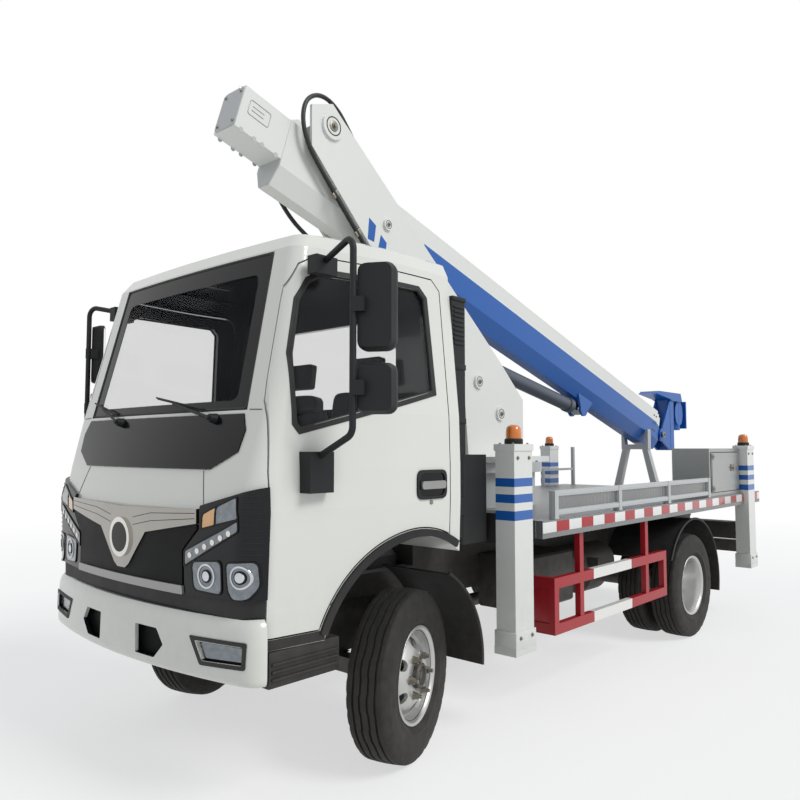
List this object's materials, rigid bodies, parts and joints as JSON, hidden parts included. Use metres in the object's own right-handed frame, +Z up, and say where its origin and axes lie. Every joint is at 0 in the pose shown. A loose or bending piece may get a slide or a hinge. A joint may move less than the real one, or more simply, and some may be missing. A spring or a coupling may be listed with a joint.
{
  "type": "cherry picker truck",
  "caption": "Forward-control light truck with a leaning turret, a telescopic lift boom lying back in its cradle, a flat deck and upright outrigger legs.",
  "frame": {"origin": "on the ground below the middle of the whole length and width", "axes": "+X to the left side of the truck, +Y to its rear along the length, +Z up"},
  "size_m": [2.5492, 6.6178, 3.536],
  "materials": {
    "amber_lamp": "lens",
    "black_plastic": "grained",
    "boom_white": "gloss paint",
    "cab_white": "gloss paint",
    "cabinet_steel": "brushed",
    "cast_grey": "cast",
    "chassis_black": "satin paint",
    "chrome": "polished",
    "cylinder_grey": "satin paint",
    "deck_alloy": "checker plate",
    "glass": "clear",
    "gloss_black": "gloss",
    "guard_red": "gloss paint",
    "head_blue": "gloss paint",
    "lamp": "clear lens",
    "light_grey": "satin paint",
    "red_lamp": "lens",
    "rim_silver": "silver paint",
    "rod_chrome": "polished",
    "seat_fabric": "woven",
    "tyre": "matte"
  },
  "bodies": {
    "truck": {"air_intake": "black_plastic", "arch_panels": "black_plastic", "axles": "chassis_black", "battery_box": "chassis_black", "beacons": "amber_lamp", "boom_rest": "light_grey", "bumper": "cab_white", "cab_glass": "glass", "cab_shell": "cab_white", "dashboard": "black_plastic", "deck": "deck_alloy", "deck_rails": "deck_alloy", "engine": "cast_grey", "front_panel": "gloss_black", "fuel_tank": "chassis_black", "grille": "black_plastic", "grille_bar": "chrome", "headlamps": "lamp", "ladder_frame": "chassis_black", "leaf_springs": "chassis_black", "outrigger_beams": "chassis_black", "outrigger_legs": "boom_white", "propeller_shaft": "chassis_black", "seats": "seat_fabric", "side_guards": "guard_red", "steering_wheel": "black_plastic", "subframe": "chassis_black", "tail_lamps": "red_lamp", "tool_cabinet": "cabinet_steel", "turntable": "chassis_black", "turret": "boom_white", "turret_hoses": "black_plastic", "underrun_bar": "chassis_black"},
    "left_door": {"left_door": "cab_white", "left_door_glass": "glass", "left_mirrors": "black_plastic"},
    "right_door": {"right_door": "cab_white", "right_door_glass": "glass", "right_mirrors": "black_plastic"},
    "front_left_knuckle": {"front_left_knuckle": "cast_grey"},
    "front_right_knuckle": {"front_right_knuckle": "cast_grey"},
    "front_left_wheel": {"front_left_tyre": "tyre", "front_left_rim": "rim_silver"},
    "front_right_wheel": {"front_right_tyre": "tyre", "front_right_rim": "rim_silver"},
    "rear_left_wheels": {"rear_left_tyres": "tyre", "rear_left_rims": "rim_silver"},
    "rear_right_wheels": {"rear_right_tyres": "tyre", "rear_right_rims": "rim_silver"},
    "front_left_foot": {"front_left_foot": "boom_white"},
    "front_right_foot": {"front_right_foot": "boom_white"},
    "rear_left_foot": {"rear_left_foot": "boom_white"},
    "rear_right_foot": {"rear_right_foot": "boom_white"},
    "cabinet_door": {"cabinet_door": "cabinet_steel"},
    "boom": {"boom_outer": "boom_white"},
    "boom_middle": {"boom_middle": "boom_white"},
    "boom_inner": {"boom_inner": "boom_white"},
    "platform_head": {"platform_head": "head_blue"},
    "lift_barrel": {"lift_barrel": "cylinder_grey"},
    "lift_rod": {"lift_rod": "rod_chrome"}
  },
  "joints": [
    {"name": "left_door_hinge", "type": "hinge", "parent": "truck", "child": "left_door", "pos_m": [0.877, -3.126, 1], "axis": [0, 0, -1], "range_deg": [0, 65]},
    {"name": "right_door_hinge", "type": "hinge", "parent": "truck", "child": "right_door", "pos_m": [-0.877, -3.126, 1], "axis": [0, 0, 1], "range_deg": [0, 65]},
    {"name": "steering_left", "type": "hinge", "parent": "truck", "child": "front_left_knuckle", "pos_m": [0.655, -2.291, 0.4025], "axis": [0, 0, 1], "range_deg": [-56, 20]},
    {"name": "steering_right", "type": "hinge", "parent": "truck", "child": "front_right_knuckle", "pos_m": [-0.655, -2.291, 0.4025], "axis": [0, 0, 1], "range_deg": [-56, 20]},
    {"name": "front_left_spin", "type": "hinge", "parent": "front_left_knuckle", "child": "front_left_wheel", "pos_m": [0.655, -2.291, 0.4025], "axis": [0.9511, 0.309, 0], "continuous": true},
    {"name": "front_right_spin", "type": "hinge", "parent": "front_right_knuckle", "child": "front_right_wheel", "pos_m": [-0.655, -2.291, 0.4025], "axis": [0.9511, 0.309, 0], "continuous": true},
    {"name": "rear_left_spin", "type": "hinge", "parent": "truck", "child": "rear_left_wheels", "pos_m": [0.7525, 1.017, 0.4025], "axis": [1, 0, 0], "continuous": true},
    {"name": "rear_right_spin", "type": "hinge", "parent": "truck", "child": "rear_right_wheels", "pos_m": [-0.7525, 1.017, 0.4025], "axis": [1, 0, 0], "continuous": true},
    {"name": "front_left_jack", "type": "slide", "parent": "truck", "child": "front_left_foot", "axis": [0, 0, -1], "range_m": [0, 0.41]},
    {"name": "front_right_jack", "type": "slide", "parent": "truck", "child": "front_right_foot", "axis": [0, 0, -1], "range_m": [0, 0.41]},
    {"name": "rear_left_jack", "type": "slide", "parent": "truck", "child": "rear_left_foot", "axis": [0, 0, -1], "range_m": [0, 0.41]},
    {"name": "rear_right_jack", "type": "slide", "parent": "truck", "child": "rear_right_foot", "axis": [0, 0, -1], "range_m": [0, 0.41]},
    {"name": "cabinet_door_hinge", "type": "hinge", "parent": "truck", "child": "cabinet_door", "pos_m": [1.009, 1.395, 1.287], "axis": [0, 0, -1], "range_deg": [0, 110]},
    {"name": "boom_lift", "type": "hinge", "parent": "truck", "child": "boom", "pos_m": [0, -2.152, 3.351], "axis": [1, 0, 0], "range_deg": [0, 78]},
    {"name": "boom_extend", "type": "slide", "parent": "boom", "child": "boom_middle", "axis": [0, 0.9588, -0.284], "range_m": [0, 3.6]},
    {"name": "boom_extend_inner", "type": "slide", "parent": "boom_middle", "child": "boom_inner", "axis": [0, 0.9588, -0.284], "range_m": [0, 3.6]},
    {"name": "platform_level", "type": "hinge", "parent": "boom_inner", "child": "platform_head", "pos_m": [0, 2.64265, 1.63352], "axis": [1, 0, 0], "range_deg": [-78, 0]},
    {"name": "lift_barrel_swing", "type": "hinge", "parent": "truck", "child": "lift_barrel", "pos_m": [0, -1.191, 2.265], "axis": [1, 0, 0], "range_deg": [0, 84.3]},
    {"name": "lift_rod_slide", "type": "slide", "parent": "lift_barrel", "child": "lift_rod", "axis": [0, 0.9813, -0.1926], "range_m": [0, 1.799]}
  ],
  "couplings": [
    {"joint": "steering_right", "follows": "steering_left", "ratio": 1},
    {"joint": "boom_extend_inner", "follows": "boom_extend", "ratio": 1},
    {"joint": "platform_level", "follows": "boom_lift", "ratio": -1},
    {"joint": "lift_barrel_swing", "follows": "boom_lift", "ratio": 1.0788},
    {"joint": "lift_rod_slide", "follows": "boom_lift", "m_per_rad": 1.32}
  ]
}
